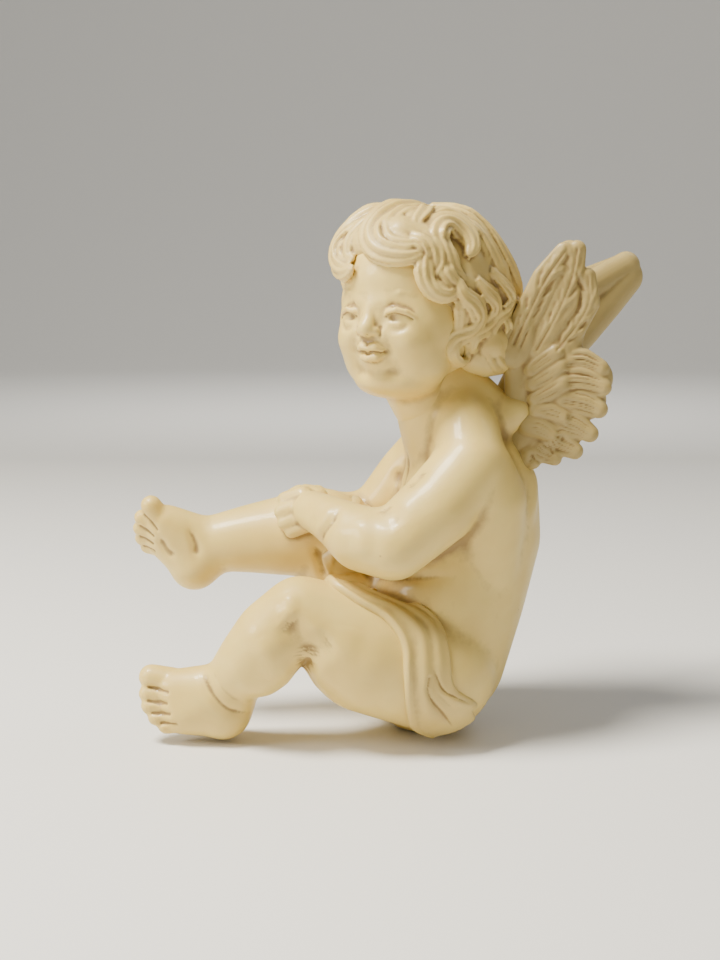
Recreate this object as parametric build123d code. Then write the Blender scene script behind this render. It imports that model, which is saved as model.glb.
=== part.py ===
"""Seated winged cherub figurine: ivory resin castings, bonded together over steel locating pins.

Millimetres. +Z is up, the cherub's hips face -Y, its left side is +X, and the origin is on the table
in the middle of the figurine's footprint.
"""
import math
import os

from build123d import *

# Driving dimensions
figure_height = 80.0
size = figure_height / 80.0            # everything below is drawn for an 80 mm figurine
seat_shift = Vector(0.1, 3.67, 0.0)     # from the origin to the table under the pelvis
head_turn = 45.0                       # the face looks this far to the cherub's left, degrees
seat_base_height = 1.2
cloth_thickness = 1.1
wing_thickness = 2.8
main_pin = (0.8, 3.5)                  # locating pins: radius, and reach into each casting
wing_pin = (0.5, 2.4)


def at(x, y, z):
    """A point measured from the table under the pelvis."""
    return (Vector(x, y, z) + seat_shift) * size


# Joints of the body: where each one is, and the thickness of the flesh round it
skull = at(0.6, -1.0, 64.4)
skull_half = Vector(10.0, 11.4, 12.0)
neck = [(at(0.0, 4.2, 43.0), 6.4), (at(0.4, 0.6, 54.0), 5.2)]

left_arm_bones = [
    (at(9.4, 5.0, 41.2), 5.3), (at(12.4, -6.4, 29.8), 4.7), (at(5.4, -13.8, 33.4), 3.0), (at(1.0, -16.4, 34.4), 2.5),
]
right_arm_bones = [
    (at(-9.5, 2.7, 41.3), 5.2), (at(-12.8, -7.4, 33.6), 4.5), (at(-9.8, -13.2, 36.4), 2.9), (at(-7.0, -15.8, 37.6), 2.4),
]
left_leg_bones = [
    (at(6.6, 1.0, 11.0), 9.2), (at(8.6, -18.8, 21.0), 6.7), (at(8.4, -24.6, 15.2), 5.9), (at(7.2, -29.8, 8.6), 4.3),
]
right_leg_bones = [
    (at(-6.6, 1.0, 12.2), 9.0), (at(-6.2, -13.0, 30.2), 6.6), (at(-6.8, -20.5, 29.4), 5.9), (at(-7.4, -29.8, 28.2), 4.2),
]

# Feet: the left one lies on its outer edge, the right one shows its sole, big toes upwards
left_heel = (at(7.4, -28.8, 4.0), 4.0)
left_instep = [(at(6.0, -37.4, 9.4), 2.6), (at(7.2, -36.2, 3.6), 2.7)]
left_toes = [
    (at(5.6, -37.8, 10.0), at(5.3, -40.6, 10.9), 1.8, 1.6),
    (at(6.1, -38.2, 8.0), at(6.2, -40.9, 8.3), 1.3, 1.2),
    (at(6.6, -38.0, 6.2), at(6.9, -40.5, 6.1), 1.3, 1.2),
    (at(7.0, -37.4, 4.5), at(7.5, -39.7, 4.2), 1.3, 1.1),
    (at(7.4, -36.4, 2.8), at(8.0, -38.3, 2.4), 1.2, 1.1),
]
right_heel = (at(-7.4, -34.0, 24.0), 3.9)
right_instep = [(at(-6.8, -38.2, 32.2), 2.6), (at(-8.8, -39.2, 28.8), 2.4)]
right_toes = [
    (at(-6.5, -39.0, 33.0), at(-6.0, -40.2, 35.6), 1.8, 1.6),
    (at(-7.3, -39.9, 31.8), at(-7.4, -41.6, 33.3), 1.25, 1.15),
    (at(-8.0, -40.3, 30.5), at(-8.4, -42.0, 31.4), 1.2, 1.1),
    (at(-8.7, -40.4, 29.2), at(-9.2, -41.9, 29.6), 1.15, 1.05),
    (at(-9.3, -40.0, 28.0), at(-9.9, -41.3, 28.0), 1.1, 1.0),
]

# Curls that hang on the nape, down to the wings
nape_curls = [(at(4.6, 8.6, 58.4), 4.4), (at(-1.4, 9.4, 57.6), 4.4), (at(-6.4, 6.4, 58.6), 4.0)]

# Hands, both on the raised right knee
left_fingers = [
    (at(-0.2, -17.4, 36.2), at(-1.4, -20.2, 35.6), 1.2, 1.0),
    (at(0.6, -17.8, 34.8), at(-0.6, -20.8, 33.9), 1.2, 1.0),
    (at(1.0, -17.7, 33.4), at(-0.1, -20.4, 32.2), 1.2, 1.0),
    (at(1.1, -17.0, 32.2), at(0.1, -19.4, 30.9), 1.1, 0.9),
    (at(0.0, -14.8, 36.4), at(-1.6, -17.0, 37.2), 1.3, 1.1),
]
right_fingers = [
    (at(-5.6, -17.2, 37.6), at(-5.0, -20.0, 36.2), 1.2, 1.0),
    (at(-7.0, -17.8, 37.4), at(-6.6, -20.6, 35.9), 1.2, 1.0),
    (at(-8.3, -17.6, 36.7), at(-8.2, -20.3, 35.2), 1.2, 1.0),
    (at(-9.4, -16.8, 35.8), at(-9.6, -19.2, 34.3), 1.1, 0.9),
    (at(-5.6, -14.4, 37.8), at(-4.2, -16.6, 37.6), 1.3, 1.1),
]


def ball(centre, radius):
    return Pos(*centre) * Sphere(radius * size)


def egg(centre, half, turn=0.0):
    """An egg with three half axes, turned about the vertical."""
    return Pos(*centre) * Rot(0, 0, turn) * scale(Sphere(size), by=tuple(half))


def limb(start, end, start_radius, end_radius):
    """A round-ended, tapered stretch of limb: one outline turned about its bone."""
    bone = end - start
    length = bone.length
    r1, r2 = start_radius * size, end_radius * size
    slope = math.asin((r1 - r2) / length)
    low_mid, high_mid = (slope - math.pi / 2) / 2, (slope + math.pi / 2) / 2
    low = (r1 * math.cos(slope), r1 * math.sin(slope))
    high = (r2 * math.cos(slope), length + r2 * math.sin(slope))
    outline = Wire([
        ThreePointArc((0, -r1), (r1 * math.cos(low_mid), r1 * math.sin(low_mid)), low).edge(),
        Line(low, high).edge(),
        ThreePointArc(high, (r2 * math.cos(high_mid), length + r2 * math.sin(high_mid)), (0, length + r2)).edge(),
        Line((0, length + r2), (0, -r1)).edge(),
    ])
    turned = Rot(90, 0, 0) * revolve(make_face(outline), Axis.Y, 360)
    return Plane(origin=start, z_dir=bone) * turned


def chain(bones):
    """Limbs joined end to end: each bone end is a point and a radius."""
    body = None
    for (start, r1), (end, r2) in zip(bones, bones[1:]):
        stretch = limb(start, end, r1, r2)
        body = stretch if body is None else body + stretch
    return body


def digits(places):
    """Fingers or toes, each a base, a tip and two radii."""
    return [limb(base, tip, r1, r2) for base, tip, r1, r2 in places]


def foot(ankle, heel, insteps, toes):
    """A foot: heel, two sides of the instep from heel and ankle to the ball, and five toes."""
    parts = [limb(ankle[0], heel[0], ankle[1], heel[1])]
    parts += [limb(ankle[0], insteps[0][0], ankle[1] * 0.86, insteps[0][1])]
    parts += [limb(heel[0], insteps[1][0], heel[1] * 0.9, insteps[1][1])]
    parts += [limb(insteps[0][0], insteps[1][0], insteps[0][1] * 0.98, insteps[1][1] * 0.98)]
    parts += digits(toes)
    return parts


# Torso: seat, belly, chest and back, lofted through level sections
def torso_mass(grow=0.0):
    """Each section is its height, its middle along Y, its half depth and its half width."""
    sections = [
        (seat_base_height, 0.2, 7.4, 9.8),
        (5.0, 0.4, 10.4, 13.0),
        (12.0, 1.4, 11.2, 13.8),
        (20.0, 3.8, 11.0, 12.0),
        (28.0, 6.0, 10.8, 11.4),
        (36.0, 6.8, 9.9, 11.0),
        (42.0, 6.4, 8.4, 9.8),
        (46.5, 4.6, 6.2, 7.0),
    ]
    levels = [
        Plane(origin=at(0, middle, height)) * Ellipse((half_width + grow) * size, (half_depth + grow) * size)
        for height, middle, half_depth, half_width in sections
    ]
    return loft(levels)


# Seat base: the low flat foot that the pelvis rests on, sanded level
def seat_base_mass():
    sole = Plane(origin=at(0, -0.6, 0)) * Ellipse(9.0 * size, 6.2 * size)
    top = Plane(origin=at(0, 0.2, seat_base_height)) * Ellipse(9.8 * size, 7.4 * size)
    return loft([sole, top])


# Hair: a cap of curls over the skull, open round the face
def hair_mass():
    crown = skull + Vector(-0.5, 0.9, 1.1) * size
    cap = egg(crown, skull_half + Vector(1.9, 1.8, 1.9), head_turn)
    face_window = Pos(*skull) * Rot(0, 0, head_turn) * Pos(0, -13.5 * size, -7.5 * size) * Box(40 * size, 20 * size, 26 * size)
    nape_cut = Pos(*(skull + Vector(0, 0, -20.6) * size)) * Box(50 * size, 50 * size, 18 * size)
    cap = cap - face_window - nape_cut
    ring = 11
    for step in range(ring):
        angle = math.radians(-100 + 200 * step / (ring - 1))
        side, lift = math.sin(angle), math.cos(angle)
        local = Vector(11.0 * side, -8.0 + 5.6 * abs(side) ** 2, 1.2 + 8.6 * lift) * size
        cap = cap + ball(skull + local.rotate(Axis.Z, head_turn), 2.5)
    for place, radius in nape_curls:
        cap = cap + ball(place, radius)
    return cap


# Loincloth: a band of cloth that lies on the seat, the lap and the tops of both thighs
def loincloth_mass(torso, left_leg, right_leg):
    band = Pos(*at(0, -1.6, 11.8)) * Rot(33, 0, 0) * Box(60 * size, 9.0 * size, 60 * size)
    below_hem = Pos(*at(0, 0, seat_base_height - 10)) * Box(80 * size, 80 * size, 20 * size)
    band = band - below_hem
    seat_wrap = torso_mass(cloth_thickness)
    thigh_wraps = [
        limb(bones[0][0], along(bones, 0.6), bones[0][1] + cloth_thickness, bones[1][1] + 0.9 + cloth_thickness)
        for bones in (left_leg_bones, right_leg_bones)
    ]
    over_seat = cut(seat_wrap & band, torso, left_leg, right_leg)
    over_left = cut(thigh_wraps[0] & band, seat_wrap, left_leg, right_leg)
    over_right = cut(thigh_wraps[1] & band, seat_wrap, right_leg, left_leg, thigh_wraps[0])
    return over_seat.fuse(over_left).fuse(over_right)


# Wings: each cut from one leaf, with long feathers above and a round lobe of short ones below
def wing_mass(root, turn, lean, sweep):
    """root is where the wing leaves the back, turn swings it outwards and lean tips it backwards.

    sweep slants the long feathers, which start at feather_start, further from the body.
    """
    feather_start = 10.0
    corners = [
        (-1.2, -7.4), (3.4, -7.2), (8.6, -4.6), (12.6, 0.0), (13.4, 5.4), (12.0, 11.0), (12.4, 17.0),
        (10.4, 24.0), (7.9, 28.2), (4.6, 24.4), (2.0, 17.6), (0.0, 11.6), (-1.8, 6.0), (-2.0, 0.0),
    ]
    swept = [(out + sweep * max(0.0, up - feather_start), up) for out, up in corners]
    outline = Spline(swept, periodic=True)
    leaf = extrude(make_face(Wire([outline.edge()])), wing_thickness / 2, both=True)
    upright = Rot(0, 0, 90) * Rot(90, 0, 0) * scale(leaf, size)
    return Pos(*root) * Rot(0, 0, turn) * Rot(-lean, 0, 0) * upright


left_wing_pose = (at(4.6, 12.6, 46.0), -14.0, 0.0, 0.0)
right_wing_pose = (at(-5.0, 13.0, 48.6), 14.0, 24.0, 0.25)


def pin(centre, direction, proportions):
    """A steel locating pin, half in each of the two castings that it joins."""
    radius, reach = proportions
    return Plane(origin=centre, z_dir=direction) * Cylinder(radius * size, 2 * reach * size)


def along(bones, share):
    """A point on the first bone of a chain."""
    return bones[0][0] + (bones[1][0] - bones[0][0]) * share


def bone_direction(bones):
    return bones[1][0] - bones[0][0]


# Castings, from the trunk outwards: each one is cut back to the ones that it is bonded to
def cut(body, *others):
    for other in others:
        body = body - other
    return body


def arm(bones, fingers, torso, *others):
    """An arm and its five fingers, each cut back to the castings that it meets and then joined."""
    body = cut(chain(bones), torso, *others)
    return body.fuse(*[cut(finger, *others) for finger in digits(fingers)])


def castings():
    seat_base = seat_base_mass()
    table = Pos(0, 0, -25 * size) * Box(200 * size, 200 * size, 50 * size)
    torso = torso_mass()
    head = egg(skull, skull_half, head_turn) + limb(neck[0][0], neck[1][0], neck[0][1], neck[1][1])
    left_foot = foot(left_leg_bones[-1], left_heel, left_instep, left_toes)
    right_foot = foot(right_leg_bones[-1], right_heel, right_instep, right_toes)
    left_leg = chain(left_leg_bones).fuse(*left_foot)
    right_leg = chain(right_leg_bones).fuse(*right_foot)

    left_leg = cut(left_leg, torso, seat_base, table)
    right_leg = cut(right_leg, torso, seat_base, left_leg)
    left_arm = arm(left_arm_bones, left_fingers, torso, right_leg, left_leg)
    right_arm = arm(right_arm_bones, right_fingers, torso, right_leg, left_arm)
    head = cut(head, torso, left_arm, right_arm)
    hair = cut(hair_mass(), head, torso, left_arm, right_arm)

    loincloth = cut(loincloth_mass(torso, left_leg, right_leg), left_arm, right_arm, seat_base, table)

    left_wing = cut(wing_mass(*left_wing_pose), torso, hair)
    right_wing = cut(wing_mass(*right_wing_pose), torso)
    return {
        "torso": torso, "seat_base": seat_base, "head": head, "hair": hair, "loincloth": loincloth,
        "left_arm": left_arm, "right_arm": right_arm, "left_leg": left_leg, "right_leg": right_leg,
        "left_wing": left_wing, "right_wing": right_wing,
    }


def pins():
    """Name of each pin node, its pins, and the castings that it is sunk into."""
    up = Vector(0, 0, 1)
    out = Vector(0, 1, 0)
    return {
        "neck_pin": ([pin(at(0, 4.0, 46.5), up, main_pin)], ["torso", "head"]),
        "left_shoulder_pin": ([pin(at(9.4, 4.8, 41.0), Vector(1, 0, -0.2), main_pin)], ["torso", "left_arm"]),
        "right_shoulder_pin": ([pin(at(-9.4, 3.6, 41.0), Vector(-1, 0, -0.2), main_pin)], ["torso", "right_arm"]),
        "left_hip_pin": (
            [pin(along(left_leg_bones, 0.47), bone_direction(left_leg_bones), main_pin)], ["torso", "left_leg"]),
        "right_hip_pin": (
            [pin(along(right_leg_bones, 0.47), bone_direction(right_leg_bones), main_pin)], ["torso", "right_leg"]),
        "left_wing_pins": (
            [pin(at(4.9, 15.4, 39.6), out, wing_pin), pin(at(4.7, 14.4, 42.6), out, wing_pin)],
            ["torso", "left_wing"]),
        "right_wing_pins": (
            [pin(at(-5.2, 12.0, 43.4), out, wing_pin), pin(at(-5.0, 10.6, 45.2), out, wing_pin)],
            ["torso", "right_wing"]),
    }


nodes = castings()
for name, (rods, hosts) in pins().items():
    for host in hosts:
        nodes[host] = cut(nodes[host], *rods)
    nodes[name] = Compound(children=rods) if len(rods) > 1 else rods[0]

os.makedirs("parts", exist_ok=True)
for name, shape in nodes.items():
    export_step(shape, f"parts/{name}.step")

whole = Compound(children=[Compound(s.solids()) for s in nodes.values()]).bounding_box()
print("low", whole.min, "high", whole.max)
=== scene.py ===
"""Seated winged cherub: ivory resin castings, modelled as a sculptor would press and carve them in clay."""
import math
import random

import bmesh
import bpy
import numpy as np
from mathutils import Matrix, Vector
from mathutils.bvhtree import BVHTree


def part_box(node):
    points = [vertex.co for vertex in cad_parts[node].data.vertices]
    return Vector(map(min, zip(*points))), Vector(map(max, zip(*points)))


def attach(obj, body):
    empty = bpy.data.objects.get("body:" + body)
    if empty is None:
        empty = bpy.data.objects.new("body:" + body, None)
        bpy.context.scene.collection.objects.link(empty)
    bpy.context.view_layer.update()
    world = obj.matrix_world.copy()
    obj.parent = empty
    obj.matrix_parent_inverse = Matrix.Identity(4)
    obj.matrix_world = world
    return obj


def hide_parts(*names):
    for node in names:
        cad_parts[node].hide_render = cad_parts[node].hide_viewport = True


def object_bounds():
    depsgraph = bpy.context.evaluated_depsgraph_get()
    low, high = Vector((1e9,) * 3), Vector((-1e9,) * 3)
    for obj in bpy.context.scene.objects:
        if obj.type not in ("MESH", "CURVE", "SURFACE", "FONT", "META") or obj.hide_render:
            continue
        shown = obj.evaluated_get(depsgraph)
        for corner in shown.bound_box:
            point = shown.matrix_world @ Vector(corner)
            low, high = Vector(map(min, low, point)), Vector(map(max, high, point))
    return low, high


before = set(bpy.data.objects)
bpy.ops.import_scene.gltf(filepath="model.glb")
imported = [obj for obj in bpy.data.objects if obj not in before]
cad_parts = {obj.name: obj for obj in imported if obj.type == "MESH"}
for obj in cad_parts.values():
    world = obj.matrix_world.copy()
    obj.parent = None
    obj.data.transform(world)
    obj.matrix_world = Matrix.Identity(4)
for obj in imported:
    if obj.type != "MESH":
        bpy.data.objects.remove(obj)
cad_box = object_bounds()

# ---- The table, the light and the camera
# The cherub sits on a pale board under soft lamps. Every place below is measured in millimetres of
# the figurine from the table under its pelvis, which is found from the seat base's own box.
drawn_height = 79.4
mm = (cad_box[1][2] - cad_box[0][2]) / drawn_height
seat_low, seat_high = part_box("seat_base")
seat_middle_behind_pelvis = 0.2
seat = Vector((
    (seat_low[0] + seat_high[0]) / 2,
    (seat_low[1] + seat_high[1]) / 2 - seat_middle_behind_pelvis * mm,
    cad_box[0][2],
))


def at(x, y, z):
    """A place in millimetres: to the figurine's left, to its back, and up."""
    return seat + Vector((x, y, z)) * mm


def compass(turn, rise):
    """A direction from the figurine: turn goes from the front, over its left side, to the back."""
    turn, rise = math.radians(turn), math.radians(rise)
    return Vector((math.sin(turn) * math.cos(rise), -math.cos(turn) * math.cos(rise), math.sin(rise)))


def aim(thing, target):
    thing.rotation_euler = (target - thing.location).to_track_quat("-Z", "Y").to_euler()


def lamp(name, turn, rise, distance, width, power, colour, target):
    """A round soft lamp at a distance in metres from the figurine's middle, aimed at a place."""
    light = bpy.data.lights.new(name, "AREA")
    light.shape = "DISK"
    light.size = width
    light.energy = power
    light.color = colour
    thing = bpy.data.objects.new(name, light)
    bpy.context.collection.objects.link(thing)
    thing.location = at(0, 0, 40) + compass(turn, rise) * distance
    aim(thing, target)


camera_target = at(-1.52, -8.65, 37.9)
camera_turn, camera_rise, camera_distance = 82, 8, 210.3
camera = bpy.data.objects.new("camera", bpy.data.cameras.new("camera"))
bpy.context.collection.objects.link(camera)
camera.data.lens = 52.5
camera.data.sensor_width = 36.0
camera.data.clip_start = 0.005
camera.location = camera_target + compass(camera_turn, camera_rise) * camera_distance * mm
aim(camera, camera_target)
bpy.context.scene.camera = camera

chest = at(0, -4, 40)
wall_place = at(0, 0, 40) + compass(camera_turn + 180, 6) * 1.5
lamp("ceiling_lamp", 14, 60, 0.42, 0.15, 4.8, (1.0, 0.945, 0.83), chest)
lamp("front_lamp", 10, 20, 0.45, 0.14, 1.25, (1.0, 0.95, 0.86), chest)
lamp("back_lamp", 200, 50, 0.5, 0.3, 0.45, (0.95, 0.97, 1.0), chest)
lamp("wall_lamp", camera_turn + 180, 40, 0.5, 0.3, 2.6, (1.0, 0.98, 0.94), wall_place)

# The board runs up into a wall all round, so that no edge of it shows
board_radius, cove_radius, around, cove_steps = 0.9, 0.6, 96, 12
corners = [(0, 0, 0)]
for ring in range(cove_steps + 1):
    tilt = math.radians(90 * ring / cove_steps)
    reach, rise = board_radius + cove_radius * math.sin(tilt), cove_radius * (1 - math.cos(tilt))
    for step in range(around):
        turn = 2 * math.pi * step / around
        corners.append((reach * math.cos(turn), reach * math.sin(turn), rise))
panels = [(0, 1 + step, 1 + (step + 1) % around) for step in range(around)]
for ring in range(cove_steps):
    for step in range(around):
        low, low_next = 1 + ring * around + step, 1 + ring * around + (step + 1) % around
        panels.append((low, low + around, low_next + around, low_next))
table_mesh = bpy.data.meshes.new("pale_table")
table_mesh.from_pydata(corners, [], panels)
table_mesh.polygons.foreach_set("use_smooth", [True] * len(panels))
table = bpy.data.objects.new("pale_table", table_mesh)
bpy.context.collection.objects.link(table)
table_paint = bpy.data.materials.new("table_paint")
table_paint.use_nodes = True
table_shader = table_paint.node_tree.nodes["Principled BSDF"]
table_shader.inputs["Base Color"].default_value = (0.8, 0.79, 0.76, 1.0)
table_shader.inputs["Roughness"].default_value = 0.5
table.data.materials.append(table_paint)

room = bpy.data.worlds.new("room")
bpy.context.scene.world = room
room.use_nodes = True
room.node_tree.nodes["Background"].inputs["Color"].default_value = (0.62, 0.61, 0.58, 1.0)
room.node_tree.nodes["Background"].inputs["Strength"].default_value = 0.42

# ---- Torso, arms and legs
# One skin of resin over five castings: trunk, two arms and two legs. It is pressed from lumps of
# clay, smoothed, given fingers and toes, and carved, and only then parted at the joints.
skin_grain = 0.45 * mm
detail_grain = 0.28 * mm


def ball_in_clay(place, radius, stretch=(1, 1, 1), turn=(0, 0, 0)):
    bpy.ops.mesh.primitive_ico_sphere_add(
        subdivisions=3, radius=radius * mm, location=place, scale=stretch,
        rotation=[math.radians(angle) for angle in turn],
    )


def lump(*balls):
    """One lump of clay: the hull round some balls. Each is a place, a radius, and if it isn't round
    its three stretches and three turns."""
    bpy.ops.object.select_all(action="DESELECT")
    ball_in_clay(*balls[0])
    bpy.ops.object.transform_apply(location=True, rotation=True, scale=True)
    piece = bpy.context.active_object
    if len(balls) > 1:
        bpy.ops.object.mode_set(mode="EDIT")
        for ball in balls[1:]:
            ball_in_clay(*ball)
        bpy.ops.mesh.select_all(action="SELECT")
        bpy.ops.mesh.convex_hull()
        bpy.ops.object.mode_set(mode="OBJECT")
    return piece


def chain(*balls):
    """Lumps end to end, one for each two balls that follow each other."""
    return [lump(*pair) for pair in zip(balls, balls[1:])]


def choose(pieces):
    bpy.ops.object.select_all(action="DESELECT")
    for piece in pieces:
        piece.select_set(True)
    bpy.context.view_layer.objects.active = pieces[0]


def rub(piece, rounds):
    """Rubs a whole skin smooth."""
    choose([piece])
    bpy.ops.object.modifier_add(type="SMOOTH")
    piece.modifiers["Smooth"].factor = 0.5
    piece.modifiers["Smooth"].iterations = rounds
    bpy.ops.object.modifier_apply(modifier="Smooth")


def press(name, pieces, grain, rounds):
    """Presses lumps together into one skin of even grain, and rubs it smooth."""
    choose(pieces)
    if len(pieces) > 1:
        bpy.ops.object.join()
    skin = bpy.context.active_object
    skin.name = skin.data.name = name
    bpy.ops.object.modifier_add(type="REMESH")
    skin.modifiers["Remesh"].mode = "VOXEL"
    skin.modifiers["Remesh"].voxel_size = grain
    skin.modifiers["Remesh"].adaptivity = 0.0
    bpy.ops.object.modifier_apply(modifier="Remesh")
    rub(skin, rounds)
    return skin


def read_skin(piece):
    """The places and outward directions of a skin's points."""
    mesh = piece.data
    places = np.empty(len(mesh.vertices) * 3)
    mesh.vertices.foreach_get("co", places)
    normals = np.empty(len(mesh.vertices) * 3)
    mesh.vertices.foreach_get("normal", normals)
    return places.reshape(-1, 3), normals.reshape(-1, 3)


def write_skin(piece, places):
    piece.data.vertices.foreach_set("co", places.ravel())
    piece.data.update()


def smooth_route(places, spacing):
    """A smooth run of points through the given ones, no further apart than the spacing."""
    ends = [places[0] * 2 - places[1]] + list(places) + [places[-1] * 2 - places[-2]]
    route = []
    for before, start, end, after in zip(ends, ends[1:], ends[2:], ends[3:]):
        count = max(1, math.ceil((end - start).length / spacing))
        for step in range(count):
            t = step / count
            route.append(0.5 * (
                2 * start + (end - before) * t + (2 * before - 5 * start + 4 * end - after) * t * t
                + (3 * start - before - 3 * end + after) * t ** 3
            ))
    route.append(Vector(places[-1]))
    return route


def carve(piece, strokes):
    """Strokes of a modelling tool. Each is a route that the surface is found from, the tool's half
    width, and how far it raises the clay, or cuts it if negative. A sharp stroke leaves a crease."""
    places, normals = read_skin(piece)
    faces = [face.vertices[:] for face in piece.data.polygons]
    surface = BVHTree.FromPolygons([Vector(place) for place in places], faces)
    moved = places.copy()
    for route, half_width, lift, *style in strokes:
        reach = half_width * mm
        points = smooth_route(route, reach * 0.2) if len(route) > 1 else list(route)
        found = [surface.find_nearest(point) for point in points]
        line = np.array([place for place, _, _, _ in found])
        facing = np.array([normal for _, normal, _, _ in found])
        near = np.where(np.all((places > line.min(0) - reach) & (places < line.max(0) + reach), axis=1))[0]
        if not len(near):
            continue
        gaps = np.linalg.norm(places[near, None, :] - line[None, :, :], axis=2)
        nearest = gaps.argmin(1)
        fall = np.clip(1 - gaps.min(1) / reach, 0, 1)
        shape = fall ** 1.6 if "crease" in style else fall * fall * (3 - 2 * fall)
        # A stroke fades towards both its ends, unless it is even, and leaves skin that faces away
        if len(line) > 2 and "even" not in style:
            share = nearest / (len(line) - 1)
            shape = shape * np.clip(np.sin(np.pi * (0.06 + 0.88 * share)) * 1.35, 0, 1)
        shape = shape * (np.einsum("ij,ij->i", normals[near], facing[nearest]) > -0.1)
        moved[near] += facing[nearest] * (shape * lift * mm)[:, None]
    write_skin(piece, moved)


def mark_hollows(piece, fine, broad):
    """Keeps on each point how deep in a crease it lies, for the honey-coloured darkening there, partly the
    glaze that collects in creases and partly painted shade: the surface is compared with itself after a fine
    and a broad smoothing. A hollow of the full depth, in millimetres, takes all of the darkening."""
    fine_full, broad_full = 0.12, 0.5
    places, normals = read_skin(piece)
    count = len(places)
    edges = np.empty(len(piece.data.edges) * 2, dtype=np.int64)
    piece.data.edges.foreach_get("vertices", edges)
    first, second = edges[0::2], edges[1::2]
    degree = np.bincount(edges, minlength=count)[:, None]
    smooth = places
    hollow = np.zeros(count)
    for step in range(1, broad + 1):
        total = np.empty_like(smooth)
        for axis in range(3):
            total[:, axis] = (
                np.bincount(first, smooth[second, axis], minlength=count)
                + np.bincount(second, smooth[first, axis], minlength=count)
            )
        smooth = 0.5 * smooth + 0.5 * total / degree
        if step in (fine, broad):
            depth = np.einsum("ij,ij->i", smooth - places, normals) / mm
            hollow += depth / (fine_full if step == fine else broad_full)
    layer = piece.data.attributes.new("hollow", "FLOAT", "POINT")
    layer.data.foreach_set("value", np.clip(hollow, -1, 1.5).astype(np.float32))


def wire(tree, kind, inputs=None, **settings):
    """A node with its settings and inputs; an input is a value or another node's output."""
    node = tree.nodes.new(kind)
    for key, value in settings.items():
        setattr(node, key, value)
    for key, value in (inputs or {}).items():
        if isinstance(value, bpy.types.NodeSocket):
            tree.links.new(value, node.inputs[key])
        else:
            node.inputs[key].default_value = value
    return node


def resin_marks():
    """What every casting shows, as a node group: cloudy ivory, a honey-coloured darkening in the hollows that
    is partly glaze and partly painted shade, a few pinholes from air bubbles, and a roughness worn by
    handling."""
    group = bpy.data.node_groups.new("resin_marks", "ShaderNodeTree")
    face = group.interface
    entries = (
        ("Place", "Vector"), ("Hollow", "Float"), ("Wash_and_shade", "Float"),
        ("Pale", "Color"), ("Warm", "Color"), ("Honey", "Color"),
    )
    for name, kind in entries:
        face.new_socket(name=name, in_out="INPUT", socket_type="NodeSocket" + kind)
    for name, kind in (("Color", "Color"), ("Roughness", "Float"), ("Height", "Float")):
        face.new_socket(name=name, in_out="OUTPUT", socket_type="NodeSocket" + kind)
    start = group.nodes.new("NodeGroupInput")
    end = group.nodes.new("NodeGroupOutput")
    place = start.outputs["Place"]

    def noise(size, detail=3.0):
        grains = {"Vector": place, "Scale": 1 / (size * mm), "Detail": detail, "Roughness": 0.55}
        return wire(group, "ShaderNodeTexNoise", grains).outputs["Fac"]

    def between(value, low, high, first=0.0, last=1.0):
        limits = {"Value": value, "From Min": low, "From Max": high, "To Min": first, "To Max": last}
        return wire(group, "ShaderNodeMapRange", limits).outputs["Result"]

    def maths(operation, one, other):
        return wire(group, "ShaderNodeMath", {0: one, 1: other}, operation=operation).outputs[0]

    def mix(share, one, other):
        return wire(group, "ShaderNodeMix", {"Factor": share, "A": one, "B": other}, data_type="RGBA")

    cloud = mix(between(noise(9.0), 0.35, 0.68), start.outputs["Pale"], start.outputs["Warm"])
    # The wash in the hollows: a honey colour that is partly the glaze held there and partly painted shade in
    # the creases.
    depth = maths("ADD", start.outputs["Hollow"], between(noise(1.6), 0.3, 0.7, -0.14, 0.14))
    wash_and_shade = maths("MULTIPLY", between(depth, 0.05, 0.72), start.outputs["Wash_and_shade"])
    washed_and_shaded = mix(wash_and_shade, cloud.outputs["Result"], start.outputs["Honey"])
    bubbles = wire(group, "ShaderNodeTexVoronoi", {"Vector": place, "Scale": 1 / (4.6 * mm)})
    chosen = between(noise(7.0, 1.0), 0.56, 0.6)
    pinhole = maths("MULTIPLY", between(bubbles.outputs["Distance"], 0.045, 0.02), chosen)
    marked = mix(maths("MULTIPLY", pinhole, 0.7), washed_and_shaded.outputs["Result"], start.outputs["Honey"])
    group.links.new(marked.outputs["Result"], end.inputs["Color"])
    handled = between(noise(3.4, 5.0), 0.3, 0.7, 0.42, 0.56)
    group.links.new(maths("ADD", handled, maths("MULTIPLY", wash_and_shade, 0.3)), end.inputs["Roughness"])
    grain = maths("ADD", maths("MULTIPLY", noise(0.35, 4.0), 0.35), noise(1.8, 2.0))
    group.links.new(maths("SUBTRACT", grain, maths("MULTIPLY", pinhole, 2.0)), end.inputs["Height"])
    return group


marks = resin_marks()


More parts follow.
